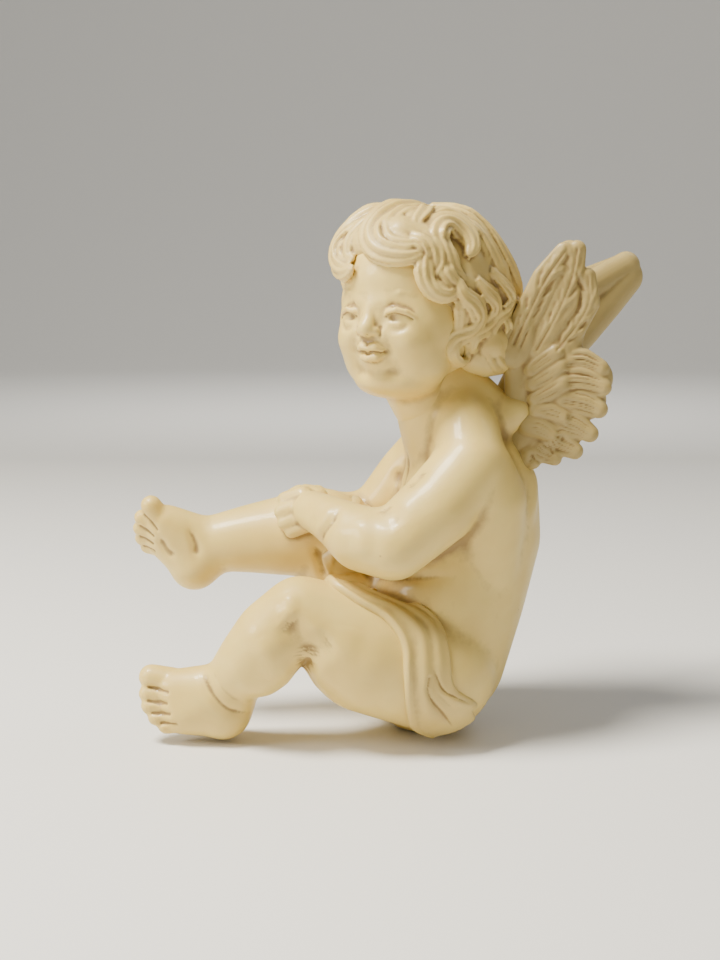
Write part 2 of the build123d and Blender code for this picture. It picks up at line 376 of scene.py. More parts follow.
def resin(name, pale, warm, honey, wash_and_shade, relief, gloss):
    """Cast polyresin, tinted through, washed with honey glaze and wiped, with painted shade darkening its
    creases, under a thin clear coat.
    """
    paint = bpy.data.materials.new(name)
    paint.use_nodes = True
    tree = paint.node_tree
    shader = tree.nodes["Principled BSDF"]
    place = tree.nodes.new("ShaderNodeTexCoord").outputs["Object"]
    hollow = wire(tree, "ShaderNodeAttribute", attribute_name="hollow").outputs["Fac"]
    detail = wire(tree, "ShaderNodeGroup", node_tree=marks)
    tree.links.new(place, detail.inputs["Place"])
    tree.links.new(hollow, detail.inputs["Hollow"])
    detail.inputs["Wash_and_shade"].default_value = wash_and_shade
    detail.inputs["Pale"].default_value = (*pale, 1)
    detail.inputs["Warm"].default_value = (*warm, 1)
    detail.inputs["Honey"].default_value = (*honey, 1)
    bump = wire(tree, "ShaderNodeBump", {
        "Height": detail.outputs["Height"], "Strength": relief, "Distance": 0.05 * mm})
    tree.links.new(detail.outputs["Color"], shader.inputs["Base Color"])
    tree.links.new(detail.outputs["Roughness"], shader.inputs["Roughness"])
    tree.links.new(bump.outputs["Normal"], shader.inputs["Normal"])
    shader.inputs["IOR"].default_value = 1.52
    shader.inputs["Subsurface Weight"].default_value = 0.15
    shader.inputs["Subsurface Radius"].default_value = (1.0, 0.6, 0.3)
    shader.inputs["Subsurface Scale"].default_value = 0.9 * mm
    shader.inputs["Coat Weight"].default_value = gloss
    shader.inputs["Coat Roughness"].default_value = 0.1
    return paint


# The honey colour of the hollows, partly glaze and partly painted shade in the creases; it also darkens the
# pinholes.
honey_glaze_and_shade = (0.24, 0.145, 0.045)
skin_resin = resin("skin_resin", (0.73, 0.55, 0.165), (0.66, 0.475, 0.125), honey_glaze_and_shade, 0.85, 0.35, 0.18)


def finish(piece, paint, *nodes):
    """Smooths a piece's shading, paints it, and lets it stand for its CAD nodes."""
    piece.data.polygons.foreach_set("use_smooth", [True] * len(piece.data.polygons))
    piece.data.materials.clear()
    piece.data.materials.append(paint)
    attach(piece, "root")
    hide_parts(*nodes)


# The trunk, from the pelvis up, then the neck and the hump that carries the wings
trunk = chain(
    (at(0, 1.6, 10.6), 1, (13.4, 11.7, 9.9)),
    (at(0, 4.4, 19.6), 1, (12.2, 11.9, 8.6)),
    (at(0, 6.7, 29.0), 1, (11.4, 12.0, 9.0)),
    (at(0, 7.8, 36.4), 1, (11.0, 10.4, 8.0)),
    (at(0, 7.2, 41.2), 1, (9.8, 8.6, 6.0)),
)
trunk += chain((at(0, 4.8, 42), 6.8), (at(0.4, 1.0, 52), 5.3), (at(0.4, 0.0, 58), 5.3))
trunk += chain((at(0.6, 3.6, 52), 5.4), (at(2.0, 7.8, 49.8), 4.4), (at(2.8, 10.8, 47.2), 3.9))
trunk += chain((at(-1.6, 8.0, 46.6), 4.6), (at(-3.4, 11.0, 45.6), 3.6))
# The slopes from the neck to the shoulders, from them to the back, and up to the left wing
trunk += chain((at(2.4, 5.8, 49.2), 4.9), (at(6.6, 5.8, 45.0), 5.0), (at(9.2, 6.0, 41.4), 5.3))
trunk += chain((at(9.0, 7.0, 40.4), 5.3), (at(8.4, 8.8, 36.0), 5.6), (at(6.4, 8.6, 26.0), 5.4))
trunk += chain((at(-2.0, 5.0, 47.6), 4.8), (at(-6.6, 4.8, 44.2), 4.8), (at(-9.0, 5.0, 41.0), 5.0))
trunk += chain((at(-9.0, 6.0, 40.0), 5.1), (at(-8.2, 8.4, 35.6), 5.5), (at(-6.2, 8.4, 26.0), 5.4))
trunk += chain((at(2.8, 10.8, 47.2), 3.9), (at(4.4, 13.6, 48.4), 2.6))
trunk += chain(
    (at(-8.6, 4.4, 41.4), 4.8), (at(-3.2, 4.8, 44.2), 4.8),
    (at(3.2, 5.2, 44.2), 4.8), (at(8.8, 5.2, 41.6), 4.8),
)

# Each limb is a run of balls from its root to its wrist or ankle
left_arm_run = [
    (at(9.6, 5.8, 41.0), 5.5), (at(11.6, 0.6, 35.6), 5.6), (at(12.4, -5.8, 30.4), 5.1),
    (at(9.8, -10.0, 31.0), 4.8), (at(5.8, -13.8, 33.2), 3.5), (at(1.4, -16.2, 34.0), 3.0),
]
right_arm_run = [
    (at(-9.4, 3.8, 41.0), 5.3), (at(-10.8, 0.6, 37.0), 5.3), (at(-12.2, -4.4, 30.4), 4.8),
    (at(-12.2, -8.8, 30.2), 4.3), (at(-10.6, -12.6, 32.0), 3.2), (at(-8.2, -15.6, 33.8), 2.8),
]
left_leg_run = [
    (at(6.6, 1.2, 10.4), 9.3), (at(8.0, -9.0, 13.8), 8.8), (at(8.8, -18.8, 20.0), 5.7),
    (at(8.2, -22.7, 16.7), 5.7), (at(6.8, -25.6, 12.9), 5.2), (at(5.2, -28.0, 10.2), 4.2),
]
right_leg_run = [
    (at(-6.6, 1.4, 11.8), 9.2), (at(-6.4, -6.4, 20.4), 8.4), (at(-6.2, -13.6, 29.2), 6.9),
    (at(-6.8, -18.8, 28.8), 6.3), (at(-7.2, -24.2, 28.4), 5.4), (at(-7.4, -30.0, 27.8), 4.4),
]
calf = chain((at(8.4, -22.0, 15.0), 5.0), (at(7.4, -24.6, 12.0), 4.4))
limbs = list(calf)
for run in (left_arm_run, right_arm_run, left_leg_run, right_leg_run):
    limbs += chain(*run)

# Feet without their toes: the heel and ankle, then the instep
left_foot = chain((at(5.0, -28.2, 9.8), 4.2), (at(3.6, -29.8, 4.6), 4.4))
left_foot.append(lump(
    (at(4.6, -29.4, 8.0), 4.2), (at(2.4, -36.8, 8.0), 2.9), (at(3.6, -36.0, 4.2), 2.9),
    (at(3.4, -30.0, 4.6), 4.0),
))
right_foot = chain((at(-7.4, -30.4, 27.6), 4.3), (at(-7.5, -33.4, 24.4), 4.0))
right_foot.append(lump(
    (at(-7.4, -31.4, 27.6), 4.1), (at(-6.8, -37.8, 31.4), 2.8), (at(-8.6, -38.6, 28.6), 2.6),
    (at(-7.5, -33.6, 25.0), 3.7),
))

rough_skin = press("skin", trunk + limbs + left_foot + right_foot, skin_grain, 24)

# Toes and fingers, each a short fat lump: where it starts, where it ends, and its two radii
left_toes = [
    ((2.0, -37.2, 8.9), (1.6, -40.2, 9.6), 2.1, 1.9),
    ((2.5, -38.2, 7.2), (2.3, -40.8, 7.3), 1.5, 1.35),
    ((2.9, -38.0, 5.7), (2.8, -40.5, 5.6), 1.5, 1.35),
    ((3.3, -37.2, 4.3), (3.4, -39.6, 4.0), 1.5, 1.3),
    ((3.6, -36.0, 3.1), (3.9, -38.2, 2.8), 1.5, 1.25),
]
right_toes = [
    ((-6.5, -38.4, 31.6), (-6.0, -39.8, 34.0), 1.9, 1.6),
    ((-7.3, -39.6, 30.6), (-7.4, -41.2, 32.0), 1.45, 1.25),
    ((-8.0, -39.9, 29.3), (-8.4, -41.5, 30.2), 1.4, 1.2),
    ((-8.7, -39.8, 28.0), (-9.2, -41.3, 28.5), 1.35, 1.15),
    ((-9.3, -39.2, 26.9), (-9.9, -40.6, 27.0), 1.25, 1.05),
]
left_fingers = [
    ((-0.4, -17.4, 35.9), (-1.4, -20.0, 35.2), 1.5, 1.2),
    ((0.5, -17.8, 34.5), (-0.4, -20.6, 33.5), 1.5, 1.2),
    ((1.0, -17.7, 33.1), (0.1, -20.2, 31.9), 1.45, 1.15),
    ((1.2, -17.0, 31.9), (0.4, -19.2, 30.7), 1.35, 1.1),
    ((-0.4, -15.0, 35.6), (-2.0, -16.8, 36.2), 1.5, 1.25),
]
right_fingers = [
    ((-7.0, -17.2, 35.2), (-6.2, -19.8, 34.2), 1.45, 1.15),
    ((-8.4, -17.4, 34.8), (-7.8, -20.2, 33.6), 1.45, 1.15),
    ((-9.6, -17.0, 33.9), (-9.3, -19.8, 32.6), 1.4, 1.1),
    ((-10.5, -16.2, 32.8), (-10.6, -18.6, 31.5), 1.3, 1.05),
    ((-6.4, -14.6, 35.2), (-4.8, -16.6, 35.4), 1.45, 1.2),
]
digits = []
for start, end, thick, thin in left_toes + right_toes + left_fingers + right_fingers:
    digits.append(lump((at(*start), thick), (at(*end), thin)))
skin = press("skin", [rough_skin] + digits, detail_grain, 5)


def path(*points):
    """The route of a stroke or of an edge, through places in millimetres."""
    return [at(*point) for point in points]


# Creases, dimples and swellings: each a route, a half width and how far it lifts the clay
left_arm_marks = [
    (path((12.0, -1.9, 41.4), (12.6, -2.2, 39.8), (12.2, -3.6, 38.0)), 2.2, -0.45),
    (path((12.8, -10.6, 34.6), (14.8, -10.6, 32.4), (14.6, -10.4, 29.4)), 2.4, 0.35),
    (path((9.4, -13.0, 35.0), (10.4, -14.0, 33.6), (9.4, -14.8, 32.0), (7.4, -14.6, 30.6)),
     1.3, -0.38, "crease"),
    (path((12.4, -8.2, 37.8), (14.2, -7.4, 36.4), (15.6, -6.4, 34.8), (16.2, -5.4, 33.6)), 2.6, -0.4),
    (path((8.4, -14.0, 35.4), (9.2, -15.2, 33.6), (8.2, -15.8, 31.8)), 1.2, 0.18),
]
left_leg_marks = [
    (path((4.0, -18.8, 12.6), (8.0, -18.7, 12.8), (12.0, -18.5, 13.2), (14.0, -18.4, 14.4)),
     2.6, -1.7, "crease"),
    (path((13.6, -18.4, 14.6), (14.4, -18.9, 16.8), (14.6, -20.2, 18.8), (13.8, -21.6, 20.6)), 3.0, -0.7),
    (path((13.6, -18.0, 14.6), (15.2, -16.8, 16.4), (16.0, -14.8, 18.0)), 3.0, -0.55),
    (path((15.4, -14.4, 15.4), (16.2, -13.4, 17.6), (15.8, -12.6, 20.0)), 3.2, 0.2),
    (path((14.8, -22.0, 20.8), (14.2, -21.0, 22.8), (12.2, -21.4, 24.0)), 2.0, 0.4),
    (path((13.4, -25.4, 17.8), (14.2, -23.4, 14.4), (12.6, -23.4, 11.0)), 2.8, 0.4),
    (path((6.2, -32.8, 11.0), (8.0, -31.4, 8.4), (8.4, -29.4, 6.2), (6.6, -26.4, 5.2)), 1.5, -0.5, "crease"),
    (path((6.8, -31.6, 12.4), (9.0, -29.8, 9.0), (8.2, -27.2, 7.2)), 1.6, -0.2, "crease"),
]
right_leg_marks = [
    (path((-3.0, -34.2, 31.2), (-2.8, -33.4, 28.6), (-3.4, -33.2, 26.4)), 1.4, -0.4, "crease"),
    (path((0.4, -15.6, 28.4), (0.2, -14.8, 25.6), (-0.4, -14.2, 23.2)), 1.6, -0.5),
    (path((-5.0, -38.6, 29.4), (-5.2, -37.4, 27.4), (-4.8, -36.0, 26.6)), 1.3, -0.45),
]
foot_marks = []
for toes, outward in ((left_toes, Vector((2.4, 0, 0))), (right_toes, Vector((2.2, 0, -0.6)))):
    for (start, end, *_), (next_start, next_end, *_) in zip(toes, toes[1:]):
        between = [
            (Vector(start) + Vector(next_start)) / 2 + outward,
            (Vector(end) + Vector(next_end)) / 2 + outward * 0.4,
        ]
        foot_marks.append((path(*between), 0.55, -0.45, "crease", "even"))
trunk_marks = [
    (path((0, 18.4, 40), (0, 19.2, 30), (0, 17.0, 20), (0, 14.4, 14)), 3.0, -0.7),
    (path((0, 14.6, 12.4), (0, 12.6, 7.0), (0, 8.6, 2.4)), 1.8, -1.5, "crease"),
    (path((3.6, 15.6, 41), (6.2, 16.0, 36.0), (8.0, 13.6, 32.0)), 2.6, 0.4),
    (path((-3.6, 15.6, 41), (-6.2, 16.0, 36.0), (-8.0, 13.6, 32.0)), 2.6, 0.4),
    (path((0, -3.2, 43.0), (0, -4.2, 38.0), (0, -5.4, 33.0)), 2.0, -0.5),
    (path((-7.2, -1.4, 39.0), (-4.0, -3.8, 37.4), (-0.8, -4.6, 37.2)), 1.8, -0.3),
    (path((7.2, -1.4, 39.0), (4.0, -3.8, 37.4), (0.8, -4.6, 37.2)), 1.8, -0.3),
    (path((-11.6, 2.6, 25.4), (-6.6, -5.6, 24.4), (0, -8.4, 24.2), (6.6, -5.6, 24.4), (11.6, 2.6, 25.4)),
     1.6, -0.4, "crease"),
]
carve(skin, left_arm_marks + left_leg_marks + right_leg_marks + foot_marks + trunk_marks)
rub(skin, 2)
mark_hollows(skin, 6, 70)


def gap_to_run(places, run):
    """How far each point lies outside a run of balls, negative inside it."""
    best = np.full(len(places), np.inf)
    for (start, thick), (end, thin) in zip(run, run[1:]):
        start, end = np.array(start), np.array(end)
        axis = end - start
        share = np.clip((places - start) @ axis / (axis @ axis), 0, 1)
        reach = np.linalg.norm(places - start - share[:, None] * axis, axis=1)
        best = np.minimum(best, reach - (thick + (thin - thick) * share) * mm)
    return best


def joined_to(seed, chosen, piece):
    """Of the chosen points, those that are joined to one of them along edges."""
    mesh = bmesh.new()
    mesh.from_mesh(piece.data)
    mesh.verts.ensure_lookup_table()
    found, waiting = {seed}, [seed]
    while waiting:
        for edge in mesh.verts[waiting.pop()].link_edges:
            for corner in edge.verts:
                if chosen[corner.index] and corner.index not in found:
                    found.add(corner.index)
                    waiting.append(corner.index)
    mesh.free()
    return found


def part_off(piece, name, wanted, normals):
    """A casting cut out of the whole skin, closed where it was cut, which keeps the skin's shading.
    Wanted says, for each face of the skin, whether it belongs to this casting."""
    mesh = bmesh.new()
    mesh.from_mesh(piece.data)
    source = mesh.verts.layers.int.new("source")
    for corner in mesh.verts:
        corner[source] = corner.index
    unwanted = [face for face, keep in zip(mesh.faces, wanted) if not keep]
    bmesh.ops.delete(mesh, geom=unwanted, context="FACES")
    outside = len(mesh.faces)
    # The cut edge is turned inwards before it is closed, so that the closing face stays inside
    turned_in = 1.2 * mm
    rim = bmesh.ops.extrude_edge_only(mesh, edges=[edge for edge in mesh.edges if edge.is_boundary])
    for corner in rim["geom"]:
        if isinstance(corner, bmesh.types.BMVert):
            corner.co -= Vector(normals[corner[source]]) * turned_in
    bmesh.ops.holes_fill(mesh, edges=[edge for edge in mesh.edges if edge.is_boundary])
    bmesh.ops.recalc_face_normals(mesh, faces=mesh.faces)
    mesh.faces.ensure_lookup_table()
    bmesh.ops.triangulate(mesh, faces=[face for face in mesh.faces if len(face.verts) > 4])
    sources = [corner[source] for corner in mesh.verts]
    mesh.verts.layers.int.remove(source)
    cast = bpy.data.objects.new(name, bpy.data.meshes.new(name))
    bpy.context.collection.objects.link(cast)
    mesh.to_mesh(cast.data)
    mesh.free()
    cast.data.polygons.foreach_set("use_smooth", [True] * len(cast.data.polygons))
    shading = []
    for face in cast.data.polygons:
        for corner in face.vertices:
            shading.append(face.normal if face.index >= outside else Vector(normals[sources[corner]]))
    cast.data.normals_split_custom_set(shading)
    return cast


# Each limb is what lies past a plane at its root and nearest its own run; the rest is the torso
limb_roots = {
    "left_arm": (left_arm_run, at(8.4, 6.6, 41.4), Vector((0.75, -0.55, -0.25))),
    "right_arm": (right_arm_run, at(-8.4, 4.4, 41.2), Vector((-0.75, -0.45, -0.35))),
    "left_leg": (left_leg_run, at(7.4, -5.4, 13.2), Vector((0.1, -0.93, 0.35))),
    "right_leg": (right_leg_run, at(-6.4, -4.6, 17.6), Vector((-0.05, -0.75, 0.66))),
}
flesh_round_run = 2.4 * mm
skin_places, skin_normals = read_skin(skin)
gaps = np.array([gap_to_run(skin_places, run) for run, _, _ in limb_roots.values()])
nearest_limb = gaps.argmin(0)
owner = np.zeros(len(skin_places), dtype=int)
for index, (run, root, along) in enumerate(limb_roots.values()):
    past = (skin_places - np.array(root)) @ np.array(along) > 0
    chosen = past & (nearest_limb == index) & (gaps[index] < flesh_round_run)
    middle_of_limb = (np.array(run[-2][0]) + np.array(run[-1][0])) / 2
    ranked = np.linalg.norm(skin_places - middle_of_limb, axis=1) + np.where(chosen, 0, 1)
    owner[list(joined_to(int(ranked.argmin()), chosen, skin))] = index + 1
face_owner = [owner[face.vertices[0]] for face in skin.data.polygons]
castings = {}
for index, name in enumerate(["torso"] + list(limb_roots)):
    castings[name] = part_off(skin, name + "_skin", [mine == index for mine in face_owner], skin_normals)


def bare_skin(*owners):
    """The surface of some castings without the faces that close them, for what lies on the skin."""
    panels = [face.vertices[:] for face, mine in zip(skin.data.polygons, face_owner) if mine in owners]
    return BVHTree.FromPolygons([Vector(place) for place in skin_places], panels)


torso_owner, left_leg_owner, right_leg_owner = 0, 3, 4
left_hip = bare_skin(torso_owner, left_leg_owner)
right_hip = bare_skin(torso_owner, right_leg_owner)
bpy.data.objects.remove(skin)
for name, piece in castings.items():
    finish(piece, skin_resin, name)

# ---- Head
# A separate casting set on the neck pin, turned to the cherub's left. Its face is a plain, calm
# child's face, built up from a skull with cheeks, brow, nose, lips and lids.
head_middle = at(0.6, -1.0, 64.4)
face_turn = math.radians(45)
to_face = Vector((math.sin(face_turn), -math.cos(face_turn), 0))
to_its_left = Vector((math.cos(face_turn), math.sin(face_turn), 0))
head_grain = 0.2 * mm


def on_head(side, front, up):
    """A place measured from the middle of the head, in millimetres: to its left, to its face, and up."""
    return head_middle + (to_its_left * side + to_face * front + Vector((0, 0, up))) * mm


def head_chain(*balls):
    """A chain of lumps on the head. Each is three distances, as in on_head, and a radius."""
    return chain(*[(on_head(side, front, up), radius) for side, front, up, radius in balls])


def mirrored(*balls):
    """A chain of lumps on each side of the face."""
    pieces = []
    for half in (-1, 1):
        pieces += head_chain(*[(half * side, front, up, radius) for side, front, up, radius in balls])
    return pieces


def stroke(places, half_width, lift, *style):
    """A stroke of the tool on each side of the face."""
    return [
        ([on_head(half * side, front, up) for side, front, up in places], half_width, lift, *style)
        for half in (-1, 1)
    ]


# The skull, the full jaw and the forehead, then the muzzle, the chin and the fold under it
face_tilt = (0, 0, 45)
head_lumps = [
    lump((on_head(0, 0, 0.6), 1, (9.9, 11.0, 11.2), face_tilt)),
    lump((on_head(0, 0.6, -2.8), 1, (10.3, 11.0, 9.8), face_tilt)),
    lump((on_head(0, 4.4, 3.4), 1, (8.2, 6.6, 6.8), face_tilt)),
    lump((on_head(0, 7.6, -6.8), 1, (4.2, 3.2, 3.4), face_tilt)),
    lump(
        (on_head(0, 6.9, -9.5), 1, (3.0, 2.7, 2.3), face_tilt),
        (on_head(0, 3.0, -9.0), 1, (6.0, 4.4, 3.4), face_tilt),
    ),
    lump((on_head(0, 4.2, -11.2), 1, (6.6, 5.6, 2.8), face_tilt)),
]
head_lumps += mirrored((3.9, 5.7, -5.0, 4.5), (3.9, 4.2, -8.0, 4.6))
head_lumps += chain((on_head(-0.4, -0.8, -9.8), 5.8), (at(0.4, 1.4, 50), 5.6))
rough_head = press("rough_head", head_lumps, 0.4 * mm, 22)

eye_side, eye_up = 4.2, -1.8
sockets = stroke([(eye_side, 10.4, eye_up)], 2.9, -0.85)
sockets += stroke([(1.9, 11.0, eye_up + 0.8), (2.0, 11.0, eye_up - 0.8)], 1.6, -0.45, "even")
sockets += stroke([(5.0, 9.6, -5.0)], 4.2, 0.5)
sockets += stroke([(2.5, 11.0, -4.4), (3.2, 10.6, -6.2), (3.0, 10.2, -7.8)], 1.1, -0.28)
carve(rough_head, sockets)

# Eyeballs, heavy upper lids, lower lids, faint brows, the nose, its wings and the lips
features = mirrored((eye_side, 8.1, eye_up - 0.1, 2.05), (eye_side + 0.3, 8.0, eye_up - 0.1, 2.05))
features += mirrored(
    (2.15, 10.0, -2.1, 0.3), (3.0, 10.45, -1.2, 0.46), (4.2, 10.35, -0.85, 0.55), (5.4, 9.65, -1.15, 0.48),
    (6.4, 8.8, -2.0, 0.3),
)
features += mirrored(
    (2.3, 9.95, -2.35, 0.26), (3.3, 10.25, -2.85, 0.34), (4.6, 9.95, -2.9, 0.36), (5.9, 9.0, -2.5, 0.26),
)
features += mirrored(
    (1.7, 9.9, 0.6, 0.3), (2.8, 9.8, 1.2, 0.5), (4.2, 9.35, 1.5, 0.6), (5.6, 8.4, 1.2, 0.45),
    (6.5, 7.6, 0.6, 0.2),
)
features += head_chain((0, 10.3, -0.2, 0.9), (0, 10.85, -2.0, 1.0), (0, 11.6, -3.5, 1.3))
features += mirrored((0.9, 11.4, -3.85, 0.72), (1.35, 11.1, -3.95, 0.62))
features += mirrored((0, 11.2, -6.3, 0.52), (1.15, 11.1, -6.15, 0.66), (2.4, 10.3, -6.75, 0.3))
features += mirrored((0, 10.85, -7.8, 0.82), (1.05, 10.7, -7.65, 0.68), (2.1, 10.1, -7.1, 0.3))
head = press("head", [rough_head] + features, head_grain, 5)

# The line between the lips, the groove over them and the one under them; then on both sides the
# nostrils, the sides of the nose, the corners of the mouth, the lids' creases and the eye bags
mouth_line = [on_head(side, front, up) for side, front, up in (
    (-2.5, 10.4, -7.0), (-1.1, 11.2, -6.9), (0, 11.4, -7.05), (1.1, 11.2, -6.9), (2.5, 10.4, -7.0),
)]
face_marks = [
    (mouth_line, 0.45, -0.4, "crease", "even"),
    ([on_head(0, 12.2, -4.9), on_head(0, 11.7, -5.7)], 0.55, -0.2, "even"),
    ([on_head(-1.2, 10.6, -8.5), on_head(0, 11.0, -8.6), on_head(1.2, 10.6, -8.5)], 1.0, -0.3),
]
paired_marks = [
    ([(0.65, 12.2, -4.8)], 0.45, -0.3),
    ([(2.0, 10.9, -3.4), (1.95, 10.9, -4.4)], 0.55, -0.22, "even"),
    ([(2.6, 10.3, -6.85)], 0.7, -0.28),
    ([(2.5, 10.6, -0.5), (4.1, 10.4, 0.0), (5.7, 9.4, -0.5), (6.6, 8.7, -1.5)], 0.8, -0.2, "crease"),
    ([(2.6, 10.6, -1.9), (3.3, 10.6, -1.65), (4.4, 10.4, -1.5), (5.6, 9.6, -1.75), (6.2, 9.0, -2.2)],
     0.34, -0.22, "crease", "even"),
    ([(2.5, 10.4, -3.6), (4.3, 10.2, -3.9), (6.0, 9.0, -3.2)], 0.9, -0.15),
]
for mark in paired_marks:
    face_marks += stroke(*mark)
carve(head, face_marks)
rub(head, 1)
mark_hollows(head, 6, 60)
finish(head, skin_resin, "head")

# ---- Hair
# One casting of thick S-shaped curls over a cap. Each lock is a flat tapered roll of clay, combed
# into strands, that follows the head and ends in a small curl.
hair_grain = 0.22 * mm
cap_middle = (0.5, -2.0, 1.1)
cap_size = (11.1, 12.4, 12.9)


def lock(route, width, roll=0.0, strands=8, depth=0.26):
    """A lock of hair along a route on the head. It swells from its root and tapers to its end, lies
    flat on the head, and rolls over by some degrees to each side along the way."""
    points = smooth_route([on_head(*place) for place in route], 0.4 * mm)
    last, around = len(points) - 1, 54
    corners, panels = [], []
    for index, point in enumerate(points):
        share = index / last
        ahead = (points[min(index + 1, last)] - points[max(index - 1, 0)]).normalized()
        outward = point - on_head(*cap_middle)
        outward = (outward - ahead * outward.dot(ahead)).normalized()
        aside = ahead.cross(outward)
        swell = width * mm * min(1, 0.35 + 2.6 * share) * math.sqrt(max(0.02, 1 - share ** 2.6))
        lean = math.radians(roll) * math.sin(2 * math.pi * share)
        for step in range(around):
            turn = 2 * math.pi * step / around
            comb = swell * (1 - depth * (0.5 - 0.5 * math.cos(strands * turn + 0.8 * math.sin(5 * share))))
            side, proud = comb * math.cos(turn), 0.62 * comb * math.sin(turn)
            side, proud = (
                side * math.cos(lean) - proud * math.sin(lean),
                side * math.sin(lean) + proud * math.cos(lean),
            )
            corners.append(point + aside * side + outward * proud)
    for index in range(last):
        for step in range(around):
            here, beside = index * around + step, index * around + (step + 1) % around
            panels.append((here, beside, beside + around, here + around))
    panels.append(tuple(reversed(range(around))))
    panels.append(tuple(range(last * around, last * around + around)))
    mesh = bpy.data.meshes.new("lock")
    mesh.from_pydata(corners, [], panels)
    piece = bpy.data.objects.new("lock", mesh)
    bpy.context.collection.objects.link(piece)
    return piece


def on_cap(turn, rise, proud=1.0):
    """A place on the cap. Turn goes from the face, over the left ear, to the back of the head."""
    turn, rise = math.radians(turn), math.radians(rise)
    return (
        cap_middle[0] + cap_size[0] * math.sin(turn) * math.cos(rise) * proud,
        cap_middle[1] + cap_size[1] * math.cos(turn) * math.cos(rise) * proud,
        cap_middle[2] + cap_size[2] * math.sin(rise) * proud,
    )


def ring(turn, rise, radius, first, last, proud=1.0):
    """A curl round a place on the cap: a radius in degrees, and the clock angles it runs between."""
    route = []
    for step in range(9):
        angle = math.radians(first + (last - first) * step / 8)
        widen = radius / math.cos(math.radians(rise))
        route.append(on_cap(turn + widen * math.sin(angle), rise + radius * math.cos(angle), proud))
    return route


